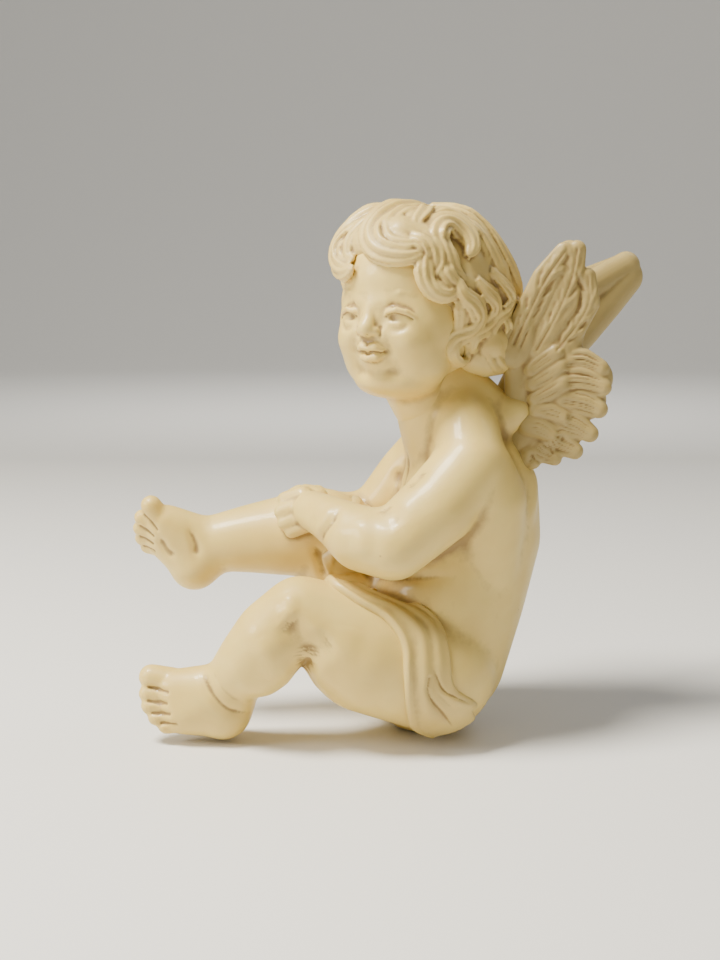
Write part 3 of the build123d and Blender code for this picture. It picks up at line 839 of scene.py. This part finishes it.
# The curls over the brow and the left temple, each a route, a half width and its roll
brow_curls = [
    ([(-0.6, 0.2, 13.2), (-3.6, 3.2, 12.7), (-6.4, 5.8, 10.6), (-7.9, 7.2, 8.0), (-7.2, 8.6, 5.6),
      (-4.8, 10.2, 4.4), (-2.6, 11.2, 5.0)], 2.7, 25),
    ([(-1.4, 3.4, 12.6), (-3.4, 6.4, 11.2), (-5.2, 8.2, 8.8), (-4.8, 9.4, 6.6),
      (-3.2, 10.2, 6.2)], 1.9, 0),
    ([(1.0, -1.6, 13.7), (0.4, 1.8, 13.5), (-0.9, 5.4, 12.2), (-1.0, 8.4, 10.0), (0.8, 10.1, 7.9),
      (3.4, 10.0, 6.8), (5.8, 8.8, 6.6), (7.0, 7.4, 7.4)], 2.6, 20),
    ([(1.8, 0.4, 13.4), (1.2, 4.2, 12.6), (1.0, 7.4, 10.8), (2.6, 9.2, 8.8), (5.0, 8.8, 8.2),
      (6.4, 7.4, 8.8)], 2.1, 0),
    ([(2.4, 0.6, 13.3), (3.8, 3.4, 12.4), (4.2, 5.8, 11.2), (5.2, 7.0, 9.8)], 2.0, 0),
    # a ring of curls round a small hollow over the temple
    (ring(63, 36, 14, -150, 150, 1.03), 2.2, 25),
    (ring(66, 35, 27, -50, 130, 0.99), 2.0, 0),
    ([(7.2, 6.9, 7.8), (7.2, 7.8, 5.2), (7.6, 7.9, 3.2), (8.6, 7.2, 1.6), (9.7, 5.8, 1.0),
      (10.3, 4.4, 1.8), (9.8, 4.9, 2.9)], 1.5, 20),
    ([(8.7, 5.5, 6.0), (9.4, 5.4, 4.2), (10.1, 4.4, 2.6), (10.9, 2.8, 1.4)], 1.5, 0),
    ([(3.6, 8.0, 9.4), (5.8, 7.4, 9.0), (7.6, 6.6, 7.6), (8.2, 6.2, 5.4), (7.6, 6.8, 3.6),
      (8.2, 6.4, 2.0)], 1.7, 25),
    ([(6.0, 5.0, 10.0), (7.8, 5.0, 8.6), (9.0, 4.8, 6.6), (9.6, 4.0, 4.6), (10.6, 2.4, 3.2)], 1.7, 20),
    # the side locks, down to a drop-shaped end below the ear
    ([(10.6, 4.2, 3.2), (11.2, 3.8, 1.4), (11.6, 1.8, -0.2), (11.4, 0.4, -2.0), (10.6, 1.2, -3.8),
      (9.2, 3.2, -5.0), (8.6, 3.4, -6.8), (8.8, 1.6, -8.4), (9.2, -0.2, -8.2),
      (9.4, 0.2, -6.8)], 1.9, 30),
    ([(10.5, 4.2, 0.6), (10.6, 3.4, -1.4), (10.0, 3.2, -3.4), (9.0, 3.8, -5.0)], 1.2, 0),
    ([(11.3, 0.6, 3.4), (11.9, -0.8, 1.8), (11.9, -2.8, 0.2), (11.4, -3.4, -1.8), (11.0, -1.8, -3.4),
      (10.4, 0.2, -4.6), (9.8, -0.2, -6.4), (9.4, -2.0, -7.2)], 1.9, 30),
    ([(11.6, -2.6, 4.6), (12.1, -4.6, 3.0), (12.1, -6.4, 1.0), (11.9, -5.8, -1.2), (11.5, -4.0, -2.8),
      (10.8, -3.4, -4.8), (9.8, -4.8, -6.4), (9.0, -6.2, -7.2), (8.8, -5.2, -8.2)], 2.0, 30),
    ([(1.7, -1.8, 14.0), (4.8, -4.0, 13.1), (7.6, -6.0, 10.8), (9.8, -7.6, 7.6), (11.3, -8.8, 4.4),
      (12.1, -9.4, 1.6), (11.6, -9.6, -0.8)], 2.2, 20),
    ([(4.2, -0.6, 13.0), (6.4, -4.0, 11.8), (8.9, -6.0, 8.7), (10.6, -7.2, 5.1), (11.6, -7.8, 1.8),
      (11.2, -8.2, -0.6)], 2.0, 0),
    ([(5.6, 0.0, 12.4), (8.4, -3.0, 10.2), (10.4, -4.6, 7.0), (11.6, -5.6, 3.8),
      (12.0, -6.4, 1.0)], 1.9, 15),
    ([(1.0, -4.2, 13.6), (4.2, -7.2, 12.0), (7.0, -9.4, 8.8), (8.8, -10.8, 5.2), (9.8, -11.4, 1.8),
      (9.6, -11.4, -1.0), (8.6, -11.2, -1.8)], 2.1, 20),
    ([(11.0, -8.2, 1.4), (12.2, -8.8, -0.8), (12.0, -8.6, -3.2), (10.8, -8.0, -4.8),
      (9.8, -8.2, -4.2)], 1.8, 25),
    ([(10.8, -5.4, -2.6), (11.2, -6.8, -4.8), (10.2, -7.2, -7.0), (8.8, -6.4, -8.0),
      (8.2, -5.6, -7.2)], 1.8, 25),
    ([(10.4, -2.4, -5.4), (10.9, -4.2, -7.2), (10.9, -6.4, -8.0), (10.2, -7.8, -7.0),
      (9.4, -7.4, -6.0)], 1.9, 25),
    ([(11.8, -5.6, -1.2), (12.3, -6.8, -3.6), (12.0, -8.0, -5.6), (10.8, -8.2, -6.4)], 1.8, 20),
    ([(9.4, -10.0, 0.2), (10.0, -10.2, -2.6), (9.0, -9.8, -5.0), (7.4, -9.0, -5.6)], 1.9, 25),
    ([(10.4, -3.4, -6.4), (11.4, -4.8, -8.2), (11.8, -6.8, -8.8), (11.2, -8.6, -8.0),
      (10.4, -8.4, -6.8)], 1.9, 25),
]
hair_pieces = [
    lump((on_head(*cap_middle), 1, tuple(size - 0.5 for size in cap_size), face_tilt)),
    lump((on_head(-0.3, -5.4, -3.2), 1, (8.8, 6.4, 6.6), face_tilt), (on_head(1.4, -5.6, -5.4), 4.0)),
    lump((on_head(1.1, -3.2, 0.6), 1, (11.1, 11.4, 12.2), face_tilt)),
]

# What fills the hair under the fringe, the temple and the nape, so that no gap between curls is deep
fillings = (
    [(-1.6, 6.0, 9.6, 3.0), (2.4, 6.4, 9.0, 3.2), (6.0, 4.2, 8.0, 2.8), (8.0, 3.6, 4.2, 2.1)],
    [(-5.4, 5.2, 8.0, 3.2), (-2.6, 6.8, 8.2, 3.1), (0.6, 7.0, 8.4, 2.9)],
    [(10.0, -4.6, -6.2, 2.8), (10.6, -6.2, -8.0, 2.1), (11.4, -8.6, -6.6, 2.2)],
    [(8.0, -3.6, -7.6, 2.8), (9.4, -4.8, -8.3, 2.6), (10.6, -6.6, -8.4, 2.2)],
    [(8.6, 1.0, 2.5, 2.7), (8.8, 0.0, -3.0, 2.4), (8.2, -2.0, -6.0, 2.2)],
    [(9.0, -5.6, 4.0, 3.4), (9.6, -6.2, -1.5, 3.2), (8.8, -5.4, -5.0, 2.8)],
    [(9.6, -4.6, -5.4, 3.0), (10.6, -6.2, -6.0, 2.6), (11.0, -7.4, -4.6, 2.4)],
)
for filling in fillings:
    hair_pieces += head_chain(*filling)
curl_fullness = 1.12
for route, width, roll in brow_curls:
    hair_pieces.append(lock(route, width * curl_fullness, roll))

# The far temple, whose curls mirror the near ones but start further back
temple_curls = brow_curls[7:15]
for route, width, roll in temple_curls:
    far_route = [(-0.9 * side, front - 3.0, up) for side, front, up in route]
    hair_pieces.append(lock(far_route, width * 0.9, roll))
far_curls = (
    ([(-4.0, 1.0, 12.0), (-7.2, 2.2, 10.2), (-9.2, 2.6, 7.4), (-9.9, 3.2, 4.6), (-9.2, 4.6, 2.6),
      (-8.6, 5.4, 3.6)], 1.9),
    ([(-2.4, -1.6, 12.7), (-6.4, -1.8, 11.2), (-9.4, -1.4, 8.0), (-10.6, -0.6, 4.4), (-10.4, 0.8, 1.4)], 2.0),
)
for route, width in far_curls:
    hair_pieces.append(lock(route, width, 20))

# Waves from the crown over the back of the head, in three rows, each row under the one above
dice = random.Random(11)
back_rows = ((150, 292, 9, 80, -6, 2.1), (142, 300, 10, 34, -34, 1.9), (138, 296, 9, -2, -52, 1.8))
for first_turn, last_turn, number, top, bottom, width in back_rows:
    for index in range(number):
        start = first_turn + (last_turn - first_turn) * index / (number - 1) + dice.uniform(-4, 4)
        lean, wave = dice.choice((-1, 1)), dice.uniform(7, 12)
        route = []
        for step in range(8):
            share = step / 7
            turn = start + lean * wave * math.sin(1.9 * math.pi * share)
            route.append(on_cap(turn, top + (bottom - top) * share, 0.97))
        route.append(on_cap(start + lean * (wave + 8), bottom + 3, 1.0))
        route.append(on_cap(start + lean * (wave + 3), bottom + 12, 1.02))
        hair_pieces.append(lock(route, width * dice.uniform(0.88, 1.08), 20))

hair = press("hair", hair_pieces, hair_grain, 2)
hair_resin = resin("hair_resin", (0.67, 0.505, 0.165), (0.58, 0.42, 0.12), honey_glaze_and_shade, 0.9, 0.45, 0.12)
mark_hollows(hair, 4, 40)
finish(hair, hair_resin, "hair")

# ---- Wings
# Two thin castings, each pinned to a shoulder blade. The outer faces carry three long feathers over
# a fan of short ones, with small coverts between; the inner faces are smooth.
wing_grain = 0.22 * mm
dice = random.Random(5)
feather_bed, feather_bed_place = 1.7, -0.35


def feather(route, width, proud, height=0.8, tip_share=0.72):
    """A feather in the flat of the wing: a flat lump from its root to its round tip, combed later.
    Its route is places in the wing, out from the root and up, in millimetres."""
    balls = []
    for index, (out, up) in enumerate(route):
        wide = width * (tip_share if index == len(route) - 1 and len(route) > 2 else 1)
        balls.append((Vector((out, up, proud)) * mm, 1, (wide, wide, height)))
    return chain(*balls)


def half_across(route, width):
    """The direction across a feather, as long as the feather is half wide."""
    along = (Vector(route[-1]) - Vector(route[0])).normalized()
    return Vector((-along.y, along.x)) * width


def combing(route, width, top, places, depth):
    """Grooves that run along a feather, at places across it, each a little uneven."""
    strokes = []
    for place in places:
        shift = half_across(route, width) * (place + dice.uniform(-0.08, 0.08))
        start = Vector(route[0]).lerp(Vector(route[1]), dice.uniform(0.1, 0.6))
        line = [Vector((*(Vector(point) + shift), top)) * mm for point in [start] + route[1:]]
        strokes.append((line, dice.uniform(0.34, 0.46), -depth * dice.uniform(0.7, 1.2), "crease"))
    return strokes


def barbs(route, width, top):
    """A shaft down a long feather, with short uneven barbs slanting away from it to both sides."""
    line = smooth_route([Vector((*point, top)) * mm for point in route], 0.9 * mm)
    strokes = [(line, 0.45, -0.24, "crease", "even")]
    for start, end in zip(line[1:], line[3:]):
        along = (end - start).normalized()
        for side in (-1, 1):
            aside = Vector((-along.y, along.x, 0)) * side
            first = start + aside * dice.uniform(0.2, 0.4) * width * mm
            middle = first + (along * 1.1 + aside * 0.5) * dice.uniform(0.8, 1.2) * mm
            last = middle + (along * 1.3 + aside * 0.35) * dice.uniform(0.6, 1.2) * mm
            strokes.append(([first, middle, last], dice.uniform(0.4, 0.6), dice.uniform(-0.3, 0.12)))
    return strokes


def wing(name, long_feathers, fan, coverts, bed):
    """Presses a wing flat and combs its feathers."""
    pieces = []
    for route, width in bed:
        pieces += feather(route, width, feather_bed_place, feather_bed, 1)
    for route, width, proud in long_feathers + fan + coverts:
        pieces += feather(route, width, proud)
    piece = press(name, pieces, wing_grain, 2)
    strokes = []
    for route, width, proud in long_feathers:
        strokes += barbs(route, width, proud + 1.4)
    for route, width, proud in fan:
        strokes += combing(route, width, proud + 1.4, (-0.75, -0.45, -0.1, 0.25, 0.6), 0.34)
    for route, width, proud in coverts:
        strokes += combing(route, width, proud + 1.4, (-0.5, 0.0, 0.5), 0.26)
    carve(piece, strokes)
    rub(piece, 1)
    return piece


def stand(piece, root, out, proud):
    """Stands a flat wing at its root: its first axis along out, its second up, its third proud."""
    up = proud.cross(out) if proud.cross(out).z > 0 else out.cross(proud)
    place = Matrix((
        (out.x, up.x, proud.x, root.x),
        (out.y, up.y, proud.y, root.y),
        (out.z, up.z, proud.z, root.z),
        (0, 0, 0, 1),
    ))
    piece.data.transform(place)
    if place.to_3x3().determinant() < 0:
        piece.data.flip_normals()
    piece.data.update()


# The left wing: for each feather a route out from the root and up, a half width, and how proud it lies
near_long = [
    ([(0.6, 12.4), (2.4, 16.4), (5.0, 21.8), (7.6, 25.6)], 2.1, 1.0),
    ([(3.9, 11.6), (6.6, 16.6), (8.6, 21.6), (9.4, 26.0)], 1.9, 0.8),
    ([(6.8, 11.6), (9.4, 14.9), (11.2, 18.4), (11.0, 22.2)], 1.7, 0.5),
]
near_fan = [
    ([(7.2, 9.8), (10.6, 9.9), (13.0, 8.9)], 2.0, 0.6),
    ([(7.6, 7.2), (11.2, 7.0), (13.5, 6.2)], 1.9, 0.8),
    ([(7.6, 4.6), (11.0, 3.9), (13.0, 3.0)], 1.95, 0.7),
    ([(7.0, 1.8), (9.8, 0.7), (11.8, -0.6)], 1.9, 0.6),
    ([(5.6, -0.6), (7.8, -2.2), (9.7, -3.2)], 1.8, 0.5),
    ([(3.6, -2.2), (5.2, -3.6), (6.8, -4.4)], 1.5, 0.4),
]
near_coverts = [
    ([(0.2, 11.4), (0.9, 13.0), (1.8, 15.0)], 2.5, 1.3),
    ([(6.6, 11.2), (4.6, 9.8), (3.0, 8.6)], 1.25, 1.15),
    ([(7.4, 9.2), (5.2, 7.6), (3.2, 6.5)], 1.3, 1.1),
    ([(7.8, 6.8), (5.6, 5.4), (3.6, 4.4)], 1.3, 1.15),
    ([(4.0, 2.8), (6.2, 2.6), (8.0, 1.9)], 1.25, 1.1),
    ([(2.8, 0.6), (4.6, 0.2), (6.4, -0.8)], 1.55, 1.15),
    ([(3.0, -3.6), (3.6, -4.8)], 1.2, 0.7),
]
near_bed = [
    ([(-1.4, 0.0), (1.0, 4.0), (2.8, 9.0), (2.4, 13.6), (6.4, 21.6), (8.4, 25.4)], 2.0),
    ([(2.0, -1.4), (6.0, 2.0), (7.0, 8.0), (7.8, 14.0), (9.6, 20.0)], 3.0),
    ([(1.2, 3.0), (1.3, 7.0), (0.8, 12.6)], 2.1),
    ([(9.0, 9.0), (11.8, 7.4)], 3.3),
    ([(9.4, 4.6), (11.2, 4.2)], 3.0),
    ([(6.0, 0.0), (9.0, 0.4)], 2.8),
    ([(2.6, -4.6), (6.0, -2.0)], 1.9),
    ([(0.0, 12.0), (-2.2, 12.6)], 1.6),
]
left_wing = wing("left_wing", near_long, near_fan, near_coverts, near_bed)
left_out = Vector((0.242, 0.970, 0))
left_proud = Vector((0.970, -0.242, 0))
stand(left_wing, at(4.6, 12.6, 46) - left_proud * 0.4 * mm, left_out, left_proud)

# The right wing leans further out and back, and its long feathers end in one rounded tip
far_long = [
    ([(3.4, 9.0), (8.8, 14.4), (15.4, 19.0), (22.2, 22.0)], 2.5, 0.8),
    ([(6.0, 8.0), (12.0, 12.6), (18.2, 17.0), (22.4, 20.2)], 2.1, 0.6),
    ([(8.2, 6.8), (13.4, 9.8), (17.6, 13.4)], 1.8, 0.5),
]
far_coverts = near_coverts[1:]
far_bed = [
    ([(0.8, 0.0), (3.0, 4.0), (6.0, 9.0), (10.4, 14.4), (16.0, 18.6), (22.4, 21.8)], 2.4),
    ([(2.0, -1.4), (6.4, 2.0), (10.0, 7.0), (15.0, 12.0), (19.2, 16.4), (22.6, 20.2)], 2.8),
    ([(8.0, 7.0), (10.8, 6.6)], 3.0),
    ([(8.6, 4.0), (10.4, 3.6)], 2.8),
    ([(6.0, 0.0), (8.4, 0.4)], 2.6),
    ([(2.6, -4.0), (6.0, -1.6)], 1.9),
]
right_wing = wing("right_wing", far_long, near_fan, far_coverts, far_bed)
right_out = Vector((-0.242, 0.970, 0))
right_proud = Vector((-0.970, -0.242, 0))
stand(right_wing, at(-5, 13, 48.0), right_out, right_proud)
wing_resin = resin("wing_resin", (0.42, 0.315, 0.11), (0.36, 0.265, 0.085), honey_glaze_and_shade, 0.85, 0.5, 0.06)
for piece, node in ((left_wing, "left_wing"), (right_wing, "right_wing")):
    mark_hollows(piece, 4, 30)
    finish(piece, wing_resin, node)

# ---- Loincloth
# A separate thin casting laid over the hips: a folded band from the lap over both hips to the seat,
# with one end tucked in at the left hip.
cloth_grain = 0.22 * mm
left_front_edge = path(
    (1.0, -14.6, 23.2), (5.2, -14.9, 24.2), (9.7, -14.6, 24.4), (12.5, -11.5, 22.8), (14.2, -7.6, 20.8),
    (15.6, -5.3, 17.0), (16.2, -5.0, 12.4), (14.8, -4.4, 7.7), (12.0, -3.0, 4.2), (10.4, 0.0, 2.4),
)
left_back_edge = path(
    (0.4, -8.6, 24.2), (4.6, -8.8, 24.0), (9.2, -7.6, 23.5), (10.2, -4.5, 22.4), (11.0, -1.2, 21.3),
    (12.4, 1.2, 18.8), (14.4, 1.8, 14.6), (15.4, 2.2, 11.1), (14.6, 4.4, 8.0), (12.4, 6.2, 5.0),
)
right_front_edge = path(
    (1.0, -14.0, 24.0), (-3.4, -12.4, 30.0), (-7.0, -11.0, 31.8), (-11.4, -9.0, 29.2), (-14.0, -6.2, 24.4),
    (-15.2, -4.2, 18.6), (-15.4, -3.6, 12.4), (-14.0, -2.6, 7.4), (-10.8, -0.4, 3.0),
)
right_back_edge = path(
    (0.4, -8.0, 24.4), (-3.0, -6.8, 26.4), (-6.6, -5.0, 27.6), (-10.4, -2.2, 25.6), (-12.4, 0.4, 21.4),
    (-13.8, 1.8, 16.6), (-14.6, 2.6, 11.6), (-13.6, 4.4, 7.6), (-11.4, 6.0, 4.8),
)


def sheet(front, back, surface, folds):
    """A sheet between two edges that lies on a skin. Each fold is a place across it, from 0 at the
    front edge to 1 at the back, a width, a height, and where it starts and ends along the sheet."""
    rows, columns = 110, 44

    def even(edge):
        route = smooth_route(edge, 0.2 * mm)
        return [route[round(row / (rows - 1) * (len(route) - 1))] for row in range(rows)]

    tops, soles = [], []
    for row, (start, end) in enumerate(zip(even(front), even(back))):
        along = row / (rows - 1)
        for column in range(columns):
            share = column / (columns - 1)
            place, normal, _, _ = surface.find_nearest(start.lerp(end, share))
            hem = min(1, 6 * share + 0.35, 6 * (1 - share) + 0.2, 14 * along + 0.3)
            lift = 0.75 * math.sqrt(hem)
            for middle, wide, high, first, last in folds:
                strength = max(0, min(1, (along - first) * 8, (last - along) * 8))
                lift += high * strength * math.exp(-((share - middle) / wide) ** 2)
            tops.append(place + normal * lift * mm)
            soles.append(place - normal * 0.8 * mm)
    count = rows * columns
    panels = []
    for row in range(rows - 1):
        for column in range(columns - 1):
            here = row * columns + column
            panel = (here, here + 1, here + columns + 1, here + columns)
            panels.append(panel)
            panels.append(tuple(count + corner for corner in reversed(panel)))
    rim = [row * columns for row in range(rows)]
    rim += [(rows - 1) * columns + column for column in range(1, columns)]
    rim += [row * columns + columns - 1 for row in range(rows - 2, -1, -1)]
    rim += [column for column in range(columns - 2, 0, -1)]
    for here, beside in zip(rim, rim[1:] + rim[:1]):
        panels.append((here, beside, count + beside, count + here))
    mesh = bpy.data.meshes.new("sheet")
    mesh.from_pydata(tops + soles, [], panels)
    tidy = bmesh.new()
    tidy.from_mesh(mesh)
    bmesh.ops.recalc_face_normals(tidy, faces=tidy.faces)
    tidy.to_mesh(mesh)
    tidy.free()
    piece = bpy.data.objects.new("sheet", mesh)
    bpy.context.collection.objects.link(piece)
    return piece


cloth_folds = (
    (0.07, 0.06, 0.35, -1, 2), (0.42, 0.13, 0.5, 0.25, 0.95),
    (0.72, 0.12, 0.45, 0.1, 0.8), (0.95, 0.05, 0.2, -1, 2),
)
cloth_pieces = [
    sheet(left_front_edge, left_back_edge, left_hip, cloth_folds),
    sheet(right_front_edge, right_back_edge, right_hip, cloth_folds),
]
tucked_end = chain(
    (at(15.4, -0.6, 12.6), 0.8), (at(15.6, 0.2, 10.3), 1.15), (at(15.2, 2.5, 8.6), 1.35),
    (at(14.2, 4.8, 7.4), 1.0), (at(13.6, 5.8, 6.9), 0.6),
)
cloth_pieces += tucked_end
loincloth = press("loincloth", cloth_pieces, cloth_grain, 3)
carve(loincloth, [
    (path((16.0, -0.6, 13.0), (16.6, 0.6, 10.4), (16.2, 2.8, 8.9), (15.2, 4.8, 7.8)), 0.5, -0.3, "crease"),
    (path((15.8, -1.8, 14.0), (16.6, -1.6, 10.0), (15.6, 0.8, 6.6), (13.6, 2.6, 4.2)), 0.7, -0.35, "crease"),
])
# The loincloth is of the same ivory resin as the skin: this darker copy of the skin's colour is painted
# shade.
shaded_copy_resin = resin("shaded_copy_resin", (0.62, 0.465, 0.145), (0.54, 0.39, 0.11), honey_glaze_and_shade, 0.85, 0.45, 0.15)
mark_hollows(loincloth, 4, 40)
finish(loincloth, shaded_copy_resin, "loincloth")

# ---- Seat base
# The low foot under the pelvis, of the same ivory resin. Its flat sole is what the cherub sits on,
# and it is bonded to the torso before painting.
seat_piece = lump((at(0, 1.0, 1.0), 1, (6.4, 5.4, 0.95)), (at(0, 1.6, 4.0), 1, (7.6, 6.8, 1.5)))
seat_base = press("seat_base_skin", [seat_piece], 0.22 * mm, 3)
mark_hollows(seat_base, 4, 30)
# The seat base takes the same darker copy of the skin's colour, painted shade.
finish(seat_base, shaded_copy_resin, "seat_base")

# ---- Pins
# Bright steel pins glued into drilled holes, which hold the head, the limbs and the wings to the
# torso. Only their places inside the castings matter: none of them shows.
steel = bpy.data.materials.new("steel")
steel.use_nodes = True
steel_tree = steel.node_tree
steel_shader = steel_tree.nodes["Principled BSDF"]
lathe_marks = wire(steel_tree, "ShaderNodeTexNoise", {
    "Vector": wire(steel_tree, "ShaderNodeMapping", {
        "Vector": steel_tree.nodes.new("ShaderNodeTexCoord").outputs["Object"], "Scale": (1, 1, 12),
    }).outputs["Vector"],
    "Scale": 1 / (0.9 * mm), "Detail": 3.0,
})
brushed = wire(steel_tree, "ShaderNodeMapRange", {
    "Value": lathe_marks.outputs["Fac"], "From Min": 0.3, "From Max": 0.7, "To Min": 0.22, "To Max": 0.45})
steel_bump = wire(steel_tree, "ShaderNodeBump", {
    "Height": lathe_marks.outputs["Fac"], "Strength": 0.3, "Distance": 0.02 * mm})
steel_tree.links.new(brushed.outputs["Result"], steel_shader.inputs["Roughness"])
steel_tree.links.new(steel_bump.outputs["Normal"], steel_shader.inputs["Normal"])
steel_shader.inputs["Base Color"].default_value = (0.56, 0.57, 0.58, 1.0)
steel_shader.inputs["Metallic"].default_value = 1.0


def pin(name, radius, *ends):
    """Straight pins with bevelled ends, each from one place to another."""
    pieces = []
    for start, end in ends:
        bpy.ops.object.select_all(action="DESELECT")
        bpy.ops.mesh.primitive_cylinder_add(
            vertices=24, radius=radius * mm, depth=(end - start).length, location=(start + end) / 2,
            rotation=(end - start).to_track_quat("Z", "Y").to_euler(),
        )
        bpy.ops.object.transform_apply(location=True, rotation=True, scale=True)
        piece = bpy.context.active_object
        bpy.ops.object.modifier_add(type="BEVEL")
        piece.modifiers["Bevel"].width = radius * 0.25 * mm
        piece.modifiers["Bevel"].segments = 2
        bpy.ops.object.modifier_apply(modifier="Bevel")
        pieces.append(piece)
    choose(pieces)
    if len(pieces) > 1:
        bpy.ops.object.join()
    piece = bpy.context.active_object
    piece.name = piece.data.name = name + "_steel"
    bpy.ops.object.shade_smooth_by_angle(angle=math.radians(40))
    piece.data.materials.clear()
    piece.data.materials.append(steel)
    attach(piece, "root")
    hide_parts(name)


pin("neck_pin", 1.5, (at(0.4, 1.6, 46), on_head(0, -1.0, -5.5)))
pin("left_shoulder_pin", 1.2, (at(5.0, 6.4, 41.8), at(11.4, 2.4, 38.2)))
pin("right_shoulder_pin", 1.2, (at(-5.0, 5.4, 42.2), at(-10.6, 1.6, 38.2)))
pin("left_hip_pin", 1.2, (at(6.0, 0.4, 11.4), at(8.2, -9.6, 14.6)))
pin("right_hip_pin", 1.2, (at(-6.4, 0.6, 13.6), at(-6.4, -8.6, 22.6)))
pin(
    "left_wing_pins", 0.6,
    (at(2.6, 7.2, 44.6), at(5.0, 14.2, 45.8)),
    (at(2.6, 7.2, 42.0), at(5.0, 13.8, 43.0)),
)
pin(
    "right_wing_pins", 0.6,
    (at(-2.6, 7.2, 45.0), at(-5.4, 14.6, 48.0)),
    (at(-2.6, 7.2, 42.4), at(-5.2, 13.6, 44.6)),
)
